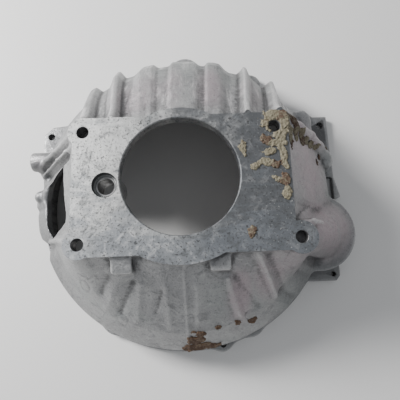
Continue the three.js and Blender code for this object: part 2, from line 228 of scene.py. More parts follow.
# Height of the upper wall's flutes above the plain bell, across the wall: (place at the face, height)
FLUTES = np.array([
    (-120, 0), (-112, 5), (-106, 12.5), (-99, 11.5), (-92, 0), (-82.7, 0), (-77, 7), (-73.5, 14), (-71, 15.5),
    (-68, 14), (-62.5, 1), (-53.4, 0), (-46.5, 5), (-43, 8.5), (-30.5, 8.5), (-25, 2), (-20, 2), (-13.5, 2),
    (-9, 8), (15.5, 8), (21, 2.5), (26.5, 2.5), (30, 9), (37, 10.5), (43.5, 10), (50, 3), (55, 0.5), (64, 2),
    (68, 9), (71, 17), (74.5, 16.5), (79.5, 7), (86, 2.5), (96, 0), (100, 8), (104, 15.5), (107.5, 17.5),
    (111.5, 11), (116, 5), (121, 0)])
FLUTE_FAN_Y = -430.0
FLUTE_ROOT_DROP = 8.0    # the grooves start this far behind the gearbox face's edge

# Soft ribs and hollows pressed into the lower bowl: ((x, y), (x, y), height, half width)
BOWL_RIBS = [
    ((-54, -106), (-74, -137), -2.8, 5.0), ((-62, -98), (-90, -134), 2.2, 6.0),
    ((-80, -99), (-92, -114), -2.2, 5.0), ((-46, -109), (-55, -148), 2.2, 4.5),
    ((-24, -116), (-33, -139), -1.7, 3.2), ((-19, -112), (-18, -156), 2.0, 4.0),
    ((14, -113), (14, -150), 2.2, 4.5), ((46, -106), (59.5, -147), 4.2, 4.0),
    ((54, -103), (80, -136), -2.4, 6.0), ((75, -82), (103, -128), 4.0, 4.0),
    ((88, -84), (112, -118), -2.0, 5.0),
]
PARTING_LINE = ((1.3, -90), (1, -192), 1.4, 1.5)
EJECTOR_MARKS = [(-73.4, -147.7), (73.4, -147.7), (-112, -108)]
EJECTOR_R = 6.6

# How the left rim wanders about its circle: (y, extra radius)
LEFT_RIM = np.array([(-75, 0), (-62, -5), (-55, -5), (-48, 1.5), (-38, 3), (-18, 2.5), (-12, 1), (-6, 4),
                     (8, 4.5), (13, 2), (18, -3), (24, -2), (34, 0)])


def line_distance(x, y, a, b):
    (ax, ay), (bx, by) = a, b
    ex, ey = bx - ax, by - ay
    t = np.clip(((x - ax) * ex + (y - ay) * ey) / (ex * ex + ey * ey), 0, 1)
    return np.hypot(x - ax - ex * t, y - ay - ey * t)


def relief(x, y):
    """How far the outer skin stands proud of the plain bell, over the plan."""
    spread = (FACE_TOP - FLUTE_FAN_Y) / (np.maximum(y, 0) - FLUTE_FAN_Y)
    fine = np.linspace(-130, 130, 521)
    heights = np.interp(fine, FLUTES[:, 0], FLUTES[:, 1])
    kernel = np.hanning(7)
    heights = np.convolve(heights, kernel / kernel.sum(), mode="same")
    field = np.interp(x * spread, fine, heights, 0, 0) * smoothstep(38, 62, y)
    for a, b, height, half_width in [*BOWL_RIBS, PARTING_LINE]:
        field = field + height * np.exp(-(line_distance(x, y, a, b) / half_width) ** 2)
    for cx, cy in EJECTOR_MARKS:
        field = field - 0.7 * np.exp(-((np.hypot(x - cx, y - cy) - EJECTOR_R) / 1.1) ** 2)
    rim = np.interp(y, LEFT_RIM[:, 0], LEFT_RIM[:, 1], 0, 0) * smoothstep(-150, -165, x)
    return (field + rim).astype(np.float32)


def wall_radius(z, foot, shoulder, crease, crease_z):
    plain = np.interp(AXES[2], [-10, SHOULDER_Z, crease_z, crease_z + 200], [foot, shoulder, crease, crease])
    kernel = np.hanning(2 * int(4 / STEP) + 1)
    padded = np.pad(plain, len(kernel), mode="edge")
    smooth = np.convolve(padded, kernel / kernel.sum(), mode="same")[len(kernel):-len(kernel)]
    return smooth.astype(np.float32)[None, None, :]


def bell(face, offset, radius, crease_r, crease_z, top, raised):
    """A bell between the face's outline and a round foot; offset moves its upper part inwards."""
    rho = np.hypot(X, Y)
    t = np.minimum((top - Z) / (top - crease_z), 1)
    section = (1 - t) * (face + offset) + t * (rho - radius)
    slope = (crease_r - (rho - face)) / (top - crease_z)
    upper = 1 / np.sqrt(1 + slope**2)
    steep = smoothstep(crease_z - 6, crease_z + 6, Z)
    lower = 1 - 0.2 * smoothstep(SHOULDER_Z - 4, SHOULDER_Z + 4, Z)
    return (section - raised) * (upper * steep + lower * (1 - steep))


def bell_skin(casting):
    face = polygon(X, Y, FACE)
    raised = relief(X, Y) * smoothstep(10, 34, Z)
    upper = smoothstep(52, 64, Y) * smoothstep(124, 112, np.abs(X))
    raised = raised - FLUTE_ROOT_DROP * upper * smoothstep(96, 146, Z)
    outer = bell(face, 0, wall_radius(Z, WALL_FOOT_R, SHOULDER_R, CREASE_R, CREASE_Z), CREASE_R, CREASE_Z,
                 SKIRT_TOP, raised)
    casting.values = smooth_max(outer, Z - (DEPTH + 3), 1.0)
    plate = prism(face, Z, PLATE_BOTTOM, DEPTH + 3)
    casting.values = smooth_min(casting.values, plate, 2.5)
    return face


def cavity(face):
    inner = bell(face, PLATE_WALL, wall_radius(Z, CAVITY_R, CAVITY_R, CAVITY_CREASE_R, CREASE_Z - 2),
                 CAVITY_CREASE_R, CREASE_Z - 2, PLATE_BOTTOM, np.float32(0))
    return smooth_max(inner, Z - PLATE_BOTTOM, 7)


# ---------------------------------------------------------------- features of the casting

STARTER = (170.0, -52.0, 49.5, 45.0)
LINKAGE = (54.0, 50.0, 12.5, -199.0)
EARS = [
    [(-203, 60), (-203, 107), (-190, 119), (-172, 121), (-140, 130), (-150, 90)],
    [(150, 118), (186, 125.5), (190, 121.5), (210.5, 121.5), (211, 62), (170, 62)],
    [(150, -110), (166, -115), (201, -115), (206.5, -108), (206.5, -88), (165, -70)],
]
EAR_HOLES = [(-192, 104, 5.0), (199.8, 107.2, 5.1), (197, -106, 3.2)]
FLANGE_BOSSES = [(5, 200, 23.5), (101, 176, 17), (-98, -160, 12), (83.3, -170, 12), (43, -187, 13)]
BOSS_HOLES = [(5.2, 207.2, 5.5), (103.3, 180, 5.5), (-99.7, -162.7, 4), (84.7, -172.9, 4), (43.8, -190.5, 4)]
DOWEL_X, DOWEL_HOLE_R, DOWEL_DEPTH = 190.5, 6.1, 10.0
SCREW_HOLE = (3.0, 46.0, 2.0)
LINKAGE_HOLE_R, LINKAGE_HOLE_DEPTH = 5, 14
SIDE_POCKET = ((192, -3, 5), (209, 29, 60))
WINDOW = [(24, 122), (13, 80), (-3, 73), (-34, 75), (-46, 83), (-38, 131), (-32, 134), (8, 126)]
LUGS = (-61.0, 37.5)
SLOPE_FOOT = (186.0, 50.0)     # x and height where the right wall's flat slope ends
SLOPE_TOP_Y = 65.0


def starter_nose(casting):
    cx, cy, r, top = STARTER
    px, py, pr = PADS["lower_right"]

    def shape(x, y, z):
        drum = np.maximum(disc(x, y, cx, cy, r), slab(z, -5, top))
        dome = cone(x, y, z, (cx, cy, top - 18), (px + 10, py + 3, SKIRT_TOP - 24), r - 8, pr - 2)
        crown = cone(x, y, z, (cx + 8, cy + 8, top - 6), (px + 20, py + 8, SKIRT_TOP - 34), 30, 12)
        dome = np.maximum(smooth_min(dome, crown, 10), -z)
        return smooth_min(drum, dome, 12)

    casting.add(shape, (90, -115, -5), (225, 10, 160), 5)
    rib = [(124, -54, 151), (136, -50, 142), (150, -50, 126)]
    casting.add(lambda x, y, z: bar(x, y, z, rib, (3, 3, 2)), (118, -60, 120), (156, -44, 156), 4)


def starter_pocket(casting):
    cx, cy, r, top = STARTER

    def shape(x, y, z):
        drum = np.maximum(disc(x, y, cx, cy, r - 6), slab(z, -9, top - 4))
        return smooth_min(drum, cone(x, y, z, (cx, cy, top - 18), (cx - 42, cy - 6, 84), r - 15, 8), 12)

    casting.cut(shape, (80, -115, -5), (225, 10, 130), 4)


def right_slope(casting):
    """The flat slope beside the face, the web along its top and the column that the web ends on."""
    foot_x, foot_z = SLOPE_FOOT
    fall = (SKIRT_TOP - foot_z) / (foot_x - FACE_RIGHT)

    def slope(x, y, z):
        top = (z - SKIRT_TOP + fall * (x - FACE_RIGHT)) / math.hypot(1, fall)
        sides = smooth_max(y - SLOPE_TOP_Y - 0.06 * (SKIRT_TOP - z), -y - 26, 6)
        return smooth_max(smooth_max(top, x - foot_x, 5), smooth_max(sides, -z, 1), 5)

    casting.add(slope, (100, -30, 0), (foot_x, 76, SKIRT_TOP), 6)
    crest = [(112, 58, 150), (136, 60, 123), (158, 61, 92), (176, 57, 66), (189, 47, 50)]
    casting.add(lambda x, y, z: bar(x, y, z, crest, (6, 6, 6, 6, 8)), (100, 44, 30), (202, 72, 162), 7)
    column = [(190, 41, 48), (190, 36, 6)]
    casting.add(lambda x, y, z: cone(x, y, z, *column, 8.5, 9), (180, 25, 0), (200, 52, 60), 4)
    lobe = np.array([(120, 96), (148, 118), (170, 120), (177, 113), (179, 104), (178, 62), (140, 60)], float)
    casting.add(lambda x, y, z: smooth_max(polygon(x, y, lobe) + 0 * z, z - 44, 8),
                (118, 58, 0), (182, 122, 48), 5)


def lower_right_facet(casting):
    """A shallow flat below the lower right pad, and the valley between the slope and the starter nose."""
    inner = [(140, -88, 84), (132, -102, 82), (112, -124, 80)]
    outer = [(166, -92, 52), (156, -110, 50), (134, -136, 50)]
    for a, b in zip(inner, outer):
        casting.cut(lambda x, y, z, a=a, b=b: cone(x, y, z, a, b, 4.5, 4.5),
                    (104, -148, 44), (178, -78, 92), 9)
    valley = [(133, -42, 148), (152, -38, 124), (176, -27, 90), (196, -16, 62), (212, -8, 44)]
    casting.cut(lambda x, y, z: bar(x, y, z, valley, (3.5, 4, 4.5, 4, 3)), (124, -52, 36), (220, 0, 156), 6)


def left_ribs(casting):
    """A tall rib from the upper left pad to the linkage boss, a low one beside it and channels between."""
    tall = [(-112, 53, 147), (-132, 51.5, 121), (-152, 50, 96), (-171, 48, 73),
            (-187, 45, 47), (-190, 40, 26)]
    tall_radii = (4.5, 4, 4, 4.5, 5.5, 6)
    casting.add(lambda x, y, z: bar(x, y, z, tall, tall_radii), (-200, 28, 15), (-105, 62, 156), 4)
    low = [(-112, 36, 151), (-124, 35.5, 137), (-143, 36, 110), (-167, 36.5, 74), (-180, 32, 57)]
    casting.add(lambda x, y, z: bar(x, y, z, low, (3, 2.6, 2.6, 3, 3.5)), (-190, 25, 50), (-105, 45, 158), 4)
    for a, b in [((-122, 44, 142), (-181, 41, 58)), ((-122, 30.5, 139), (-174, 28, 64))]:
        casting.cut(lambda x, y, z, a=a, b=b: cone(x, y, z, a, b, 3.5, 4.5),
                    (-188, 20, 52), (-115, 52, 150), 4)


def linkage_boss(casting):
    cy, cz, r, end = LINKAGE
    root = -168

    def shape(x, y, z):
        return smooth_max(np.hypot(y - cy, z - cz) - r, np.abs(x - (end + root) / 2) - (root - end) / 2, 2)

    casting.add(shape, (end, cy - r, cz - r), (root, cy + r, cz + r), 3)


def window_rim(casting):
    lip = [(-171, 16, 66), (-170, 6, 69), (-167.5, -6, 72), (-168, -18, 70), (-165, -34, 71)]
    casting.add(lambda x, y, z: bar(x, y, z, lip, (2, 2.5, 2.5, 2.5, 2)), (-178, -40, 60), (-160, 20, 80), 3)
    screw_boss = [(-177, 3, 52), (-182, 4, 60)]
    casting.add(lambda x, y, z: cone(x, y, z, *screw_boss, 10, 8), (-195, -12, 35), (-165, 18, 70), 3)
    ridge = [(-165, -54, 68), (-143, -56, 103), (-124, -61, 136)]
    casting.add(lambda x, y, z: bar(x, y, z, ridge, (2.5, 2.5, 2.5)), (-172, -66, 60), (-116, -48, 145), 5)


def window_hole(casting):
    """The fork's window, which flares inwards so that its edge stays thin."""
    outline = np.array(WINDOW, float)

    def shape(x, y, z):
        depth = np.clip(x + CREASE_R - 0.72 * (z - CREASE_Z) - 1, 0, 12)
        return np.maximum(polygon(y, z, outline) - 0.9 * depth, slab(x, -215, -112))

    casting.cut(shape, (-205, -58, 62), (-110, 38, 146), 1.2)


def lugs(casting):
    for cx in LUGS:
        def shape(x, y, z, cx=cx):
            block = box(x, y, z, (cx - 10.6, -97, 110), (cx + 10.6, -74, 160), 3)
            return smooth_max(block, (z - 156 + 0.3 * (-82 - y)) * 0.95, 2)
        casting.add(shape, (cx - 12, -99, 108), (cx + 12, -72, 162), 2.5)


def flange(casting):
    plan = disc(X, Y, 0, 0, FLANGE_R)
    for cx, cy, r in FLANGE_BOSSES:
        plan = smooth_min(plan, disc(X, Y, cx, cy, r), 8)
    cx, cy, r, _ = STARTER
    plan = smooth_min(plan, disc(X, Y, cx, cy, r + 4), 8)
    right = np.array([(150, 60), (212, 62), (212, 30), (219, 0), (150, -20)], float)
    for outline in [right, *(np.array(e, float) for e in EARS)]:
        plan = smooth_min(plan, polygon(X, Y, outline), 3)
    height = slice(0, int((FLANGE_TOP + 12 - LOW[2]) / STEP))
    raised = smooth_max(plan, Z[:, :, height] - FLANGE_TOP, 2)
    casting.values[:, :, height] = smooth_min(casting.values[:, :, height], raised, 5)


def build_field():
    casting = Casting()
    face = bell_skin(casting)
    flange(casting)
    for feature in (right_slope, starter_nose, lower_right_facet, left_ribs, linkage_boss, window_rim, lugs):
        feature(casting)
    casting.outside = casting.values.copy()
    casting.values = smooth_max(casting.values, -cavity(face), 2)
    starter_pocket(casting)
    window_hole(casting)
    x, y = SHAFT_HOLE
    casting.add(lambda a, b, c: prism(disc(a, b, x, y, SHAFT_BOSS_R), c, SHAFT_BOSS_Z, PLATE_BOTTOM + 4),
                (x - 17, y - 17, SHAFT_BOSS_Z), (x + 17, y + 17, PLATE_BOTTOM + 4), 4)
    casting.cut(lambda a, b, c: box(a, b, c, *SIDE_POCKET, 2.5), (190, -5, 3), (212, 31, 62), 2)
    boss_y, boss_z, _, end = LINKAGE
    screw_y, screw_z, screw_r = SCREW_HOLE
    casting.cut(lambda a, b, c: np.maximum(np.hypot(b - boss_y, c - boss_z) - LINKAGE_HOLE_R,
                                               a - end - LINKAGE_HOLE_DEPTH),
                (end - 3, boss_y - 6, boss_z - 6), (end + 14, boss_y + 6, boss_z + 6), 0.6)
    casting.cut(lambda a, b, c: np.hypot(b - screw_y, c - screw_z) - screw_r + 0 * a,
                (-205, screw_y - 3, screw_z - 3), (-184, screw_y + 3, screw_z + 3), 0.5)
    casting.values = smooth_max(casting.values, -Z, 0.6)
    return casting


# ---------------------------------------------------------------- meshes

def mesh_object(name, points, faces, material):
    mesh = bpy.data.meshes.new(name)
    mesh.from_pydata(points.tolist(), [], faces)
    mesh.update()
    obj = bpy.data.objects.new(name, mesh)
    bpy.context.scene.collection.objects.link(obj)
    if material:
        mesh.materials.append(material)
    return obj


def surface(values, low, step):
    """The zero level of a field on a grid, as points in millimetres and quads."""
    grid = openvdb.FloatGrid(background=float(10 * step))
    clipped = np.clip(values, -3 * step, 3 * step).astype(np.float32)
    grid.copyFromArray(clipped, tolerance=0.0)
    points, quads = grid.convertToQuads(isovalue=0.0)
    return points * step + low, quads


def apply_modifiers(obj):
    depsgraph = bpy.context.evaluated_depsgraph_get()
    mesh = bpy.data.meshes.new_from_object(obj.evaluated_get(depsgraph))
    obj.modifiers.clear()
    old = obj.data
    obj.data = mesh
    bpy.data.meshes.remove(old)


def drill(x, y, steps, sides=64):
    """A closed cutter turned about a vertical axis; steps are (radius, height) from its lowest point up."""
    mesh = bmesh.new()
    rings = []
    for radius, height in steps:
        ring = [(x + radius * math.cos(t), y + radius * math.sin(t), height)
                for t in np.linspace(0, 2 * math.pi, sides, endpoint=False)]
        rings.append([mesh.verts.new(Vector(to_metres(point))) for point in ring])
    for lower, upper in zip(rings, rings[1:]):
        for i in range(sides):
            j = (i + 1) % sides
            mesh.faces.new((lower[i], lower[j], upper[j], upper[i]))
    mesh.faces.new(rings[0][::-1])
    mesh.faces.new(rings[-1])
    return mesh


def chamfered(x, y, r, low, top, chamfer, sides=64):
    return drill(x, y, [(r, low), (r, top - chamfer), (r + chamfer + 4, top + 4)], sides)


# Bolt hole bottoms, above the underside of the face plate
BLIND_HOLE, DEEP_HOLE = 3, -26


def cutters():
    """Drills for everything that is machined, as separate closed bodies."""
    over = DEPTH + 4
    bodies = [chamfered(0, 0, BORE_R, PLATE_BOTTOM - 30, DEPTH, 1.1, 200)]
    counterbore = [(SHAFT_HOLE_R, SHAFT_BOSS_Z - 8), (SHAFT_HOLE_R, COUNTERBORE_Z),
                   (COUNTERBORE_R, COUNTERBORE_Z), (COUNTERBORE_R, DEPTH - 0.7), (COUNTERBORE_R + 4.7, over)]
    bodies.append(drill(*SHAFT_HOLE, counterbore, 80))
    for name, (x, y, _) in PADS.items():
        bottom = PLATE_BOTTOM + (BLIND_HOLE if name == "lower_right" else DEEP_HOLE)
        bodies.append(chamfered(x, y, BOLT_R, bottom, DEPTH, 0.6))
    bodies += [drill(x, y, [(r, -3), (r, FLANGE_TOP + 34)]) for x, y, r in EAR_HOLES]
    bodies += [drill(x, y, [(r, -3), (r, FLANGE_TOP + 1)]) for x, y, r in BOSS_HOLES]
    dowel_hole = [(DOWEL_HOLE_R, -3), (DOWEL_HOLE_R, DOWEL_DEPTH)]
    bodies += [drill(side * DOWEL_X, 0, dowel_hole) for side in (-1, 1)]
    return bodies


def joined(bodies, name):
    merged = bpy.data.meshes.new(name)
    whole = bmesh.new()
    for body in bodies:
        piece = bpy.data.meshes.new("piece")
        body.to_mesh(piece)
        whole.from_mesh(piece)
        bpy.data.meshes.remove(piece)
        body.free()
    whole.to_mesh(merged)
    whole.free()
    obj = bpy.data.objects.new(name, merged)
    bpy.context.scene.collection.objects.link(obj)
    return obj


def level(obj, height):
    """Cuts the mesh off flat at a height and closes it."""
    mesh = bmesh.new()
    mesh.from_mesh(obj.data)
    geometry = mesh.verts[:] + mesh.edges[:] + mesh.faces[:]
    cut = bmesh.ops.bisect_plane(mesh, geom=geometry, plane_co=(0, 0, height * MM), plane_no=(0, 0, 1),
                                 clear_outer=True)
    rim = [e for e in cut["geom_cut"] if isinstance(e, bmesh.types.BMEdge)]
    bmesh.ops.triangle_fill(mesh, edges=rim, use_beauty=True)
    bmesh.ops.recalc_face_normals(mesh, faces=mesh.faces)
    mesh.to_mesh(obj.data)
    mesh.free()


def grid_sample(values, points):
    """Values of a grid field at points in millimetres, from the nearest grid points."""
    index = np.rint((points - LOW) / STEP).astype(int)
    index = np.clip(index, 0, np.array(values.shape) - 1)
    return values[index[:, 0], index[:, 1], index[:, 2]]


def roundness(values, reach):
    """Positive on outer edges and negative in hollows: how far the field bends over a short reach."""
    gap = max(1, round(reach / STEP))
    around = sum(np.roll(values, shift, axis) for axis in range(3) for shift in (-gap, gap)) / 6
    return (around - values) / reach


def points_of(obj):
    """A mesh's points, in millimetres around the shaft's axis."""
    flat = np.empty(len(obj.data.vertices) * 3)
    obj.data.vertices.foreach_get("co", flat)
    return (flat.reshape(-1, 3) - np.array(AXIS)) / MM


def paint(obj, name, values):
    """Stores one value a point, for the materials to read."""
    layer = obj.data.attributes.new(name, "FLOAT", "POINT")
    layer.data.foreach_set("value", np.asarray(values, np.float32))


# Pinkish oxide: (x, y, half width, half depth, strength)
PINK_PLACES = [
    (148, 12, 34, 42, 1.0), (168, -52, 46, 40, 1.0), (150, 70, 36, 30, 0.9), (60, -125, 14, 30, 0.9),
    (92, -105, 20, 26, 0.7), (118, -88, 24, 16, 0.6), (-48, 110, 34, 34, 0.55), (36, 120, 16, 40, 0.8),
    (-8, 120, 12, 44, 0.5), (88, 110, 18, 30, 0.4), (-190, 54, 16, 14, 0.4),
]


def pinkness(points):
    x, y = points[:, 0], points[:, 1]
    total = np.zeros(len(points))
    for cx, cy, wide, deep, strength in PINK_PLACES:
        away = ((x - cx) / wide) ** 2 + ((y - cy) / deep) ** 2
        total = np.maximum(total, strength * np.exp(-away**2))
    return total


def inside_holes(points):
    """Which points are on the walls of a bolt hole, painted dark as shade."""
    inside = np.zeros(len(points), bool)
    holes = [(x, y, BOLT_R) for x, y, _ in PADS.values()] + EAR_HOLES
    for x, y, r in holes:
        inside |= np.hypot(points[:, 0] - x, points[:, 1] - y) < r + 0.3
    return inside


def make_casting(form, materials):
    points, quads = surface(form.values, LOW, STEP)
    obj = mesh_object("bell_casting", to_metres(points), quads[:, ::-1].tolist(), None)
    for material in materials:
        obj.data.materials.append(material)
    thin = obj.modifiers.new("thin", "DECIMATE")
    thin.ratio = min(1.0, SKIN_FACES / (2 * len(quads)))
    apply_modifiers(obj)
    level(obj, DEPTH)
    tool = joined(cutters(), "drills")
    cut = obj.modifiers.new("machining", "BOOLEAN")
    cut.operation = "DIFFERENCE"
    cut.solver = "EXACT"
    cut.object = tool
    apply_modifiers(obj)
    bpy.data.objects.remove(tool)
    mesh = obj.data
    centres = np.empty(len(mesh.polygons) * 3)
    normals = np.empty_like(centres)
    mesh.polygons.foreach_get("center", centres)
    mesh.polygons.foreach_get("normal", normals)
    x, y, z = ((centres.reshape(-1, 3) - np.array(AXIS)) / MM).T
    top = (normals[2::3] > 0.99) & (z > DEPTH - 0.5)
    bore = (z > PLATE_BOTTOM - 3) & (np.hypot(x, y) < BORE_R + 1.3)
    mesh.polygons.foreach_set("material_index", (top | bore).astype(np.int32))
    mesh.polygons.foreach_set("use_smooth", [True] * len(mesh.polygons))
    mesh.set_sharp_from_angle(angle=math.radians(38))
    places = points_of(obj)
    # Curvature tone: positive on outer edges, for edge wear with a painted highlight on the crests, and
    # negative in hollows, for painted shade.
    fine = grid_sample(roundness(form.outside, 2.5), places)
    broad = grid_sample(roundness(form.outside, 7.5), places)
    edge = np.clip(fine * 1.1 + broad * 1.4 - 0.02, -1, 1)
    # Bolt hole walls and bottoms are set to -1, painted shade inside the holes.
    paint(obj, "edge", np.where(inside_holes(places), -1, edge))
    paint(obj, "pink", pinkness(places))
    return obj


# ---------------------------------------------------------------- dried sealant and dirt

# Lumps as ellipsoids: (x, y, z, half length along x, y and z, shade from pale tan 0 to dark brown 1)
SEALANT = [
    (98, 62, 159, 12, 6, 5, 0.35), (109, 60, 158, 9, 7, 6, 0.75), (112, 52, 159, 8, 10, 6, 0.3),
    (104, 44, 160, 11, 9, 5, 0.1), (93, 52, 160, 8, 6, 5, 0.2), (90, 34, 160, 6, 6, 5, 0.9),
    (98, 30, 160, 8, 4, 5, 0.25), (107, 33, 160, 6, 10, 5, 0.15), (94, 21, 160, 8, 4, 5, 0.1),
    (107, 20, 160, 5, 7, 5, 0.2), (89, 10, 160, 7, 4, 5, 0.15), (99, 7, 160, 6, 5, 5, 0.9),
    (108, 8, 160, 4, 8, 5, 0.25), (98, -7, 160, 5, 3, 5, 0.2), (106, -9, 160, 5, 9, 5, 0.75),
    (107, -23, 160, 4.5, 7, 5, 0.2), (120, 64, 146, 9, 9, 9, 0.8), (126, 60, 140, 9, 8, 8, 1.0),
    (117, 44, 150, 7, 10, 8, 0.2), (128, 52, 136, 8, 8, 7, 0.55), (136, 55, 124, 8, 7, 7, 0.4),
    (141, 47, 117, 8, 6, 7, 0.7), (149, 50, 106, 8, 5, 7, 0.3), (157, 49, 95, 8, 4.5, 7, 0.2),
    (168, 52, 79, 8, 4.5, 7, 0.35), (180, 53, 62, 7, 4, 6, 0.6), (175, 41, 68, 3, 6, 6, 1.0),
    (169, 33, 77, 2.5, 5, 6, 0.95), (120, 33, 147, 3, 5, 5, 1.0), (130, 45, 133, 5, 4, 5, 0.15),
    (65, 26, 160, 4.5, 9, 5, 0.2), (78, 6, 160, 5, 4, 5, 0.3), (70, -60, 160, 5.5, 6, 5, 0.85),
]
DIRT = [
    (9, -175, 66, 12, 10, 9, 0.8), (17, -184, 52, 14, 8, 9, 0.6), (2, -186, 50, 9, 9, 9, 0.9),
    (14, -167, 76, 7, 6, 7, 0.9), (27, -184, 50, 11, 6, 8, 0.7), (6, -164, 80, 4, 4, 5, 0.7),
    (34, -159, 81, 5.5, 4.5, 4, 0.8), (58, -155, 79, 4.5, 5, 4, 0.8), (76, -155, 69, 7, 6, 5, 1.0),
]
CRUST_ABOVE, CRUST_BELOW = 1.3, 1.0    # how far a crust stands over the metal, and how deep it is keyed in
CRUMB_SCALE, CRUMB_HEIGHT = 420, 0.85


def ragged(x, y, z):
    """A wandering offset that gives the lumps uneven edges."""
    slow = np.sin(0.31 * x + 1.7 * np.sin(0.23 * y)) * np.sin(0.29 * y + 1.3 * np.sin(0.27 * z + 0.19 * x))
    fast = np.sin(0.83 * x + 2.1 * np.sin(0.61 * y)) * np.sin(0.77 * y + 1.9 * np.sin(0.71 * x + 0.5 * z))
    return 1.6 * slow + 0.9 * fast


def make_crust(name, lumps, form, material):
    low = [min(lump[i] - lump[i + 3] for lump in lumps) for i in range(3)]
    high = [max(lump[i] + lump[i + 3] for lump in lumps) for i in range(3)]
    cut, (x, y, z) = form.part(low, high, 4)
    metal_field = np.maximum(form.values[cut], z - DEPTH)
    field = None
    for cx, cy, cz, rx, ry, rz, _ in lumps:
        away = np.sqrt(((x - cx) / rx) ** 2 + ((y - cy) / ry) ** 2 + ((z - cz) / rz) ** 2)
        lump = (away - 1) * min(rx, ry, rz)
        field = lump if field is None else smooth_min(field, lump, 1.5)
    field = field + ragged(x, y, z)
    field = smooth_max(field, metal_field - CRUST_ABOVE, 1.5)
    field = np.maximum(field, -metal_field - CRUST_BELOW)
    for px, py, _ in PADS.values():
        field = np.maximum(field, BOLT_R + 0.5 - np.hypot(x - px, y - py) + 0 * z)
    origin = np.array([AXES[i][cut[i].start] for i in range(3)])
    points, quads = surface(field, origin, STEP)
    obj = mesh_object(name, to_metres(points), quads[:, ::-1].tolist(), material)
    rough = obj.modifiers.new("rough", "SUBSURF")
    rough.levels = 1
    apply_modifiers(obj)
    mesh = obj.data
    start = np.empty(len(mesh.vertices) * 3, np.float32)
    normals = np.empty_like(start)
    mesh.vertices.foreach_get("co", start)
    mesh.vertices.foreach_get("normal", normals)
    crumbs = [noise.fractal(Vector(point) * CRUMB_SCALE, 0.9, 2.1, 4) for point in start.reshape(-1, 3)]
    moved = start.reshape(-1, 3) + normals.reshape(-1, 3) * (CRUMB_HEIGHT * MM * np.array(crumbs))[:, None]
    mesh.vertices.foreach_set("co", moved.ravel())
    mesh.polygons.foreach_set("use_smooth", [True] * len(mesh.polygons))
    places = points_of(obj)
    centres = np.array([lump[:3] for lump in lumps])
    size = np.array([lump[3:6] for lump in lumps])
    near = np.argmin((((places[:, None] - centres) / size) ** 2).sum(axis=2), axis=1)
    paint(obj, "shade", np.array([lump[6] for lump in lumps])[near])
    return obj


# ---------------------------------------------------------------- materials

class Surface:
    """A material with short names for the nodes used here."""

    def __init__(self, name, metallic=0.0):
        self.material = bpy.data.materials.new(name)
        self.material.use_nodes = True
        self.tree = self.material.node_tree
        self.shader = self.tree.nodes["Principled BSDF"]
        self.shader.inputs["Metallic"].default_value = metallic
        coordinates = self.tree.nodes.new("ShaderNodeTexCoord")
        self.place = coordinates.outputs["Object"]

    def feed(self, node, name, value):
        if isinstance(value, bpy.types.NodeSocket):
            self.tree.links.new(value, node.inputs[name])
        else:
            node.inputs[name].default_value = value

    def noise(self, scale, detail=4.0, roughness=0.6, distortion=0.0, place=None):
        node = self.tree.nodes.new("ShaderNodeTexNoise")
        self.feed(node, "Vector", place or self.place)
        for name, value in (("Scale", scale), ("Detail", detail), ("Roughness", roughness),
                            ("Distortion", distortion)):
            self.feed(node, name, value)
        return node.outputs["Fac"]

    def stretched(self, scale):
        node = self.tree.nodes.new("ShaderNodeMapping")
        self.feed(node, "Vector", self.place)
        self.feed(node, "Scale", scale)
        return node.outputs["Vector"]

    def along(self, axis):
        node = self.tree.nodes.new("ShaderNodeSeparateXYZ")
        self.feed(node, "Vector", self.place)
        return node.outputs[axis]

    def painted(self, name):
        node = self.tree.nodes.new("ShaderNodeAttribute")
        node.attribute_name = name
        return node.outputs["Fac"]

    def span(self, value, low, high, to_low=0.0, to_high=1.0):
        node = self.tree.nodes.new("ShaderNodeMapRange")
        node.interpolation_type = "SMOOTHSTEP"
        self.feed(node, "Value", value)
        for name, number in (("From Min", low), ("From Max", high), ("To Min", to_low), ("To Max", to_high)):
            self.feed(node, name, number)
        return node.outputs["Result"]

    def sum(self, a, b, operation="ADD"):
        node = self.tree.nodes.new("ShaderNodeMath")
        node.operation = operation
        self.feed(node, 0, a)
        self.feed(node, 1, b)
        return node.outputs["Value"]

    def blend(self, a, b, amount, mode="MIX"):
        node = self.tree.nodes.new("ShaderNodeMix")
        node.data_type = "RGBA"
        node.blend_type = mode
        for index, value in ((0, amount), (6, a), (7, b)):
            if isinstance(value, bpy.types.NodeSocket):
                self.tree.links.new(value, node.inputs[index])
            else:
                node.inputs[index].default_value = (*value, 1) if index else value
        return node.outputs[2]

    def bump(self, height, distance, strength=1.0, over=None):
        node = self.tree.nodes.new("ShaderNodeBump")
        self.feed(node, "Height", height)
        self.feed(node, "Distance", distance)
        self.feed(node, "Strength", strength)
        if over:
            self.feed(node, "Normal", over)
        return node.outputs["Normal"]

    def finish(self, colour, roughness, normal):
        self.feed(self.shader, "Base Color", colour)
        self.feed(self.shader, "Roughness", roughness)
        self.feed(self.shader, "Normal", normal)
        return self.material


# HOLLOW_SHADE is painted shade for hollows and bolt holes.
PALE, MIDDLE, HOLLOW_SHADE = (0.50, 0.50, 0.495), (0.31, 0.31, 0.312), (0.06, 0.06, 0.062)
PINK_METAL = (0.44, 0.345, 0.375)
# Face tones: the two ends of its painted reflection and shade gradient, and a stain for its lower strip.
FACE_LIT_SIDE, FACE_SHADED_SIDE, STAINED_FACE = (0.50, 0.50, 0.49), (0.115, 0.12, 0.128), (0.22, 0.235, 0.255)


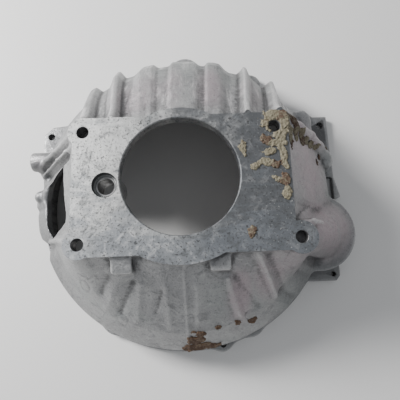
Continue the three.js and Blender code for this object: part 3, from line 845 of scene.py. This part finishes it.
def cast_metal():
    s = Surface("cast_aluminium", metallic=0.72)
    cloud = s.noise(22, 5, 0.62, 0.6)
    grain = s.noise(260, 5, 0.7)
    blotch = s.noise(75, 4, 0.65, 1.2)
    colour = s.blend(MIDDLE, PALE, s.span(cloud, 0.40, 0.66, 0, 0.55))
    colour = s.blend(colour, (0.165, 0.168, 0.172), s.span(blotch, 0.5, 0.68, 0, 0.55))
    colour = s.blend(colour, (0.56, 0.56, 0.555), s.span(s.noise(150, 5, 0.72, 0.5), 0.54, 0.7, 0, 0.5))
    # Streaks along the upper wall's flutes: the pale streaks are a painted highlight, and dark streaks are
    # mixed in too.
    streak_noise = s.noise(11, 6, 0.75, 0.3, s.stretched((6.5, 0.9, 0.9)))
    upper = s.span(s.along("Y"), 0.045, 0.07)
    painted_highlight_streaks = s.sum(s.span(streak_noise, 0.52, 0.66, 0, 0.75), upper, "MULTIPLY")
    dark_streaks = s.sum(s.span(streak_noise, 0.45, 0.33, 0, 0.7), upper, "MULTIPLY")
    colour = s.blend(colour, (0.72, 0.70, 0.70), painted_highlight_streaks)
    colour = s.blend(colour, (0.12, 0.115, 0.12), dark_streaks)
    colour = s.blend(colour, (0.30, 0.325, 0.315), s.span(s.noise(9, 3), 0.5, 0.66, 0, 0.4))
    pink = s.sum(s.painted("pink"), s.span(s.noise(34, 5, 0.7, 1.0), 0.3, 0.6, 0.35, 1.0), "MULTIPLY")
    colour = s.blend(colour, PINK_METAL, s.sum(pink, 0.7, "MULTIPLY"))
    # Curvature tone: pale on outer edges for edge wear with a painted highlight, near black in hollows and
    # bolt holes for painted shade.
    edge = s.sum(s.painted("edge"), s.span(grain, 0.3, 0.7, -0.10, 0.10))
    colour = s.blend(colour, (0.64, 0.635, 0.63), s.span(edge, 0.14, 0.7, 0, 0.65))
    colour = s.blend(colour, HOLLOW_SHADE, s.span(edge, -0.04, -0.45, 0, 0.85))
    colour = s.blend(colour, (0.09, 0.09, 0.09), s.span(s.noise(620, 3, 0.6), 0.58, 0.68, 0, 0.6))
    # Darker towards the bottom of the casting.
    colour = s.blend(colour, (0.2, 0.2, 0.2), s.span(s.along("Z"), 0.03, 0.004, 0, 0.45))
    # Darker towards the left rim.
    colour = s.blend(colour, (0.15, 0.152, 0.155), s.span(s.along("X"), -0.13, -0.19, 0, 0.5))
    # Painted shade on the bowl's lower right, below the lower right pad.
    below = s.span(s.along("Y"), -0.06, -0.11, 0, 0.5)
    lower_right = s.sum(s.span(s.along("X"), 0.08, 0.15), below, "MULTIPLY")
    colour = s.blend(colour, (0.13, 0.132, 0.135), lower_right)
    roughness = s.span(s.sum(grain, cloud), 0.8, 1.25, 0.38, 0.6)
    normal = s.bump(grain, 0.0009, 0.7)
    normal = s.bump(blotch, 0.0022, 0.45, normal)
    return s.finish(colour, roughness, normal)


def face_metal():
    s = Surface("machined_face", metallic=0.78)
    cloud = s.noise(17, 6, 0.68, 1.1)
    mottle = s.noise(85, 5, 0.7, 0.8)
    streak = s.noise(14, 5, 0.65, 0.8, s.stretched((1.0, 3.4, 1.0)))
    speck = s.noise(430, 3, 0.65)
    # Across the face from left to right: a painted reflection, bright on the left, fading into painted shade
    # on the right.
    across = s.sum(s.along("X"), s.span(cloud, 0.25, 0.75, -0.055, 0.055))
    painted_shade_right = s.span(across, -0.075, 0.045)
    colour = s.blend(FACE_LIT_SIDE, FACE_SHADED_SIDE, s.sum(painted_shade_right, 0.92, "MULTIPLY"))
    low_strip = s.span(s.sum(s.along("Y"), s.span(streak, 0.3, 0.7, -0.03, 0.03)), -0.045, -0.09, 0, 0.75)
    colour = s.blend(colour, STAINED_FACE, low_strip)
    colour = s.blend(colour, (0.19, 0.205, 0.22), s.span(streak, 0.50, 0.66, 0, 0.6))
    # Pale mottling, weighted towards the left where the painted reflection is brightest.
    pale = s.sum(s.span(mottle, 0.52, 0.7, 0, 0.45), s.span(across, 0.06, -0.03, 0.35, 1.0), "MULTIPLY")
    colour = s.blend(colour, (0.66, 0.655, 0.64), pale)
    colour = s.blend(colour, (0.16, 0.165, 0.165), s.span(mottle, 0.47, 0.33, 0, 0.6))
    colour = s.blend(colour, (0.10, 0.10, 0.10), s.span(speck, 0.55, 0.64, 0, 0.75))
    colour = s.blend(colour, (0.07, 0.07, 0.07), s.span(s.noise(170, 3, 0.55), 0.66, 0.71, 0, 0.8))
    white = s.sum(s.span(s.noise(520, 2, 0.5), 0.66, 0.72), s.span(s.along("X"), 0.05, 0.1), "MULTIPLY")
    colour = s.blend(colour, (0.62, 0.62, 0.6), s.sum(white, 0.7, "MULTIPLY"))
    roughness = s.span(mottle, 0.3, 0.7, 0.36, 0.58)
    normal = s.bump(speck, 0.0003, 0.5)
    normal = s.bump(mottle, 0.0006, 0.3, normal)
    return s.finish(colour, roughness, normal)


def steel():
    s = Surface("bare_steel", metallic=0.9)
    rings = s.noise(900, 3, 0.6, 0, s.stretched((0.15, 0.15, 1.0)))
    stain = s.noise(140, 4, 0.65, 0.6)
    colour = s.blend((0.42, 0.42, 0.42), (0.2, 0.195, 0.19), s.span(stain, 0.42, 0.7, 0, 0.8))
    return s.finish(colour, s.span(stain, 0.3, 0.7, 0.28, 0.5), s.bump(rings, 0.0002, 0.5))


def crust_material(name, pale, dark, fleck):
    s = Surface(name)
    lump = s.noise(120, 5, 0.7, 0.8)
    crumb = s.noise(480, 5, 0.75)
    shade = s.sum(s.painted("shade"), s.span(lump, 0.3, 0.7, -0.4, 0.4))
    colour = s.blend(pale, dark, s.span(shade, 0.3, 0.85))
    colour = s.blend(colour, fleck, s.span(s.noise(210, 4, 0.7), 0.55, 0.7, 0, 0.8))
    colour = s.blend(colour, (0.05, 0.035, 0.025), s.span(crumb, 0.46, 0.3, 0, 0.75))
    colour = s.blend(colour, (0.62, 0.58, 0.5), s.span(crumb, 0.58, 0.7, 0, 0.5))
    return s.finish(colour, s.span(lump, 0.3, 0.7, 0.6, 0.9), s.bump(crumb, 0.0012, 0.7))


# ---------------------------------------------------------------- the object

form = build_field()
casting = make_casting(form, [cast_metal(), face_metal()])
sealant_look = crust_material("dried_sealant", (0.21, 0.185, 0.125), (0.085, 0.05, 0.03),
                              (0.165, 0.15, 0.095))
sealant = make_crust("dried_sealant", SEALANT, form, sealant_look)
dirt = make_crust("rusty_dirt", DIRT, form,
                  crust_material("rusty_dirt", (0.23, 0.16, 0.10), (0.11, 0.065, 0.04), (0.28, 0.17, 0.09)))
for piece, slot in ((casting, "cast_aluminium"), (sealant, "dried_sealant"), (dirt, "dried_sealant")):
    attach(piece, "root")

fitted = ("shaft_sleeve", "dowel_ring_left", "dowel_ring_right")
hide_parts(*[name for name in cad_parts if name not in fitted])
for name in fitted:
    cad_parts[name].data.materials.clear()
    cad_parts[name].data.materials.append(steel())


# ---------------------------------------------------------------- floor, light and camera

FLOOR_REACH = 3
KEY_AT, KEY_AIM = (-1.2, 0.62, 1.0), (0, 0, 0.05)
KEY_SIZE, KEY_POWER = 0.5, 52
WORLD_STRENGTH = 0.45


def stage():
    corners = [(-1, -1, 0), (1, -1, 0), (1, 1, 0), (-1, 1, 0)]
    floor = mesh_object("floor", FLOOR_REACH * np.array(corners, float), [(0, 1, 2, 3)], None)
    paint = bpy.data.materials.new("floor_paint")
    paint.use_nodes = True
    shader = paint.node_tree.nodes["Principled BSDF"]
    shader.inputs["Base Color"].default_value = (0.8, 0.79, 0.775, 1)
    shader.inputs["Roughness"].default_value = 0.6
    floor.data.materials.append(paint)


def area_light(name, place, aim, size, power):
    data = bpy.data.lights.new(name, "AREA")
    data.size = size
    data.energy = power
    light = bpy.data.objects.new(name, data)
    light.location = place
    light.rotation_euler = (Vector(aim) - Vector(place)).to_track_quat("-Z", "Y").to_euler()
    bpy.context.scene.collection.objects.link(light)


def lights():
    area_light("key", KEY_AT, KEY_AIM, KEY_SIZE, KEY_POWER)
    world = bpy.data.worlds.new("studio")
    world.use_nodes = True
    world.node_tree.nodes["Background"].inputs["Color"].default_value = (0.93, 0.96, 1.0, 1)
    world.node_tree.nodes["Background"].inputs["Strength"].default_value = WORLD_STRENGTH
    bpy.context.scene.world = world


CAMERA_AT = (16.8, -100.5, 522.4)
CAMERA_AIM = (20.5, 5.1, 0.0)
CAMERA_ROLL = math.radians(-0.16)
LENS = 33.3


def camera():
    data = bpy.data.cameras.new("camera")
    data.lens = LENS
    data.sensor_width = 36
    obj = bpy.data.objects.new("camera", data)
    place = Vector(to_metres(CAMERA_AT))
    look = (Vector(to_metres(CAMERA_AIM)) - place).to_track_quat("-Z", "Y").to_matrix().to_4x4()
    obj.matrix_world = Matrix.Translation(place) @ look @ Matrix.Rotation(CAMERA_ROLL, 4, "Z")
    bpy.context.scene.collection.objects.link(obj)
    bpy.context.scene.camera = obj


stage()
lights()
camera()
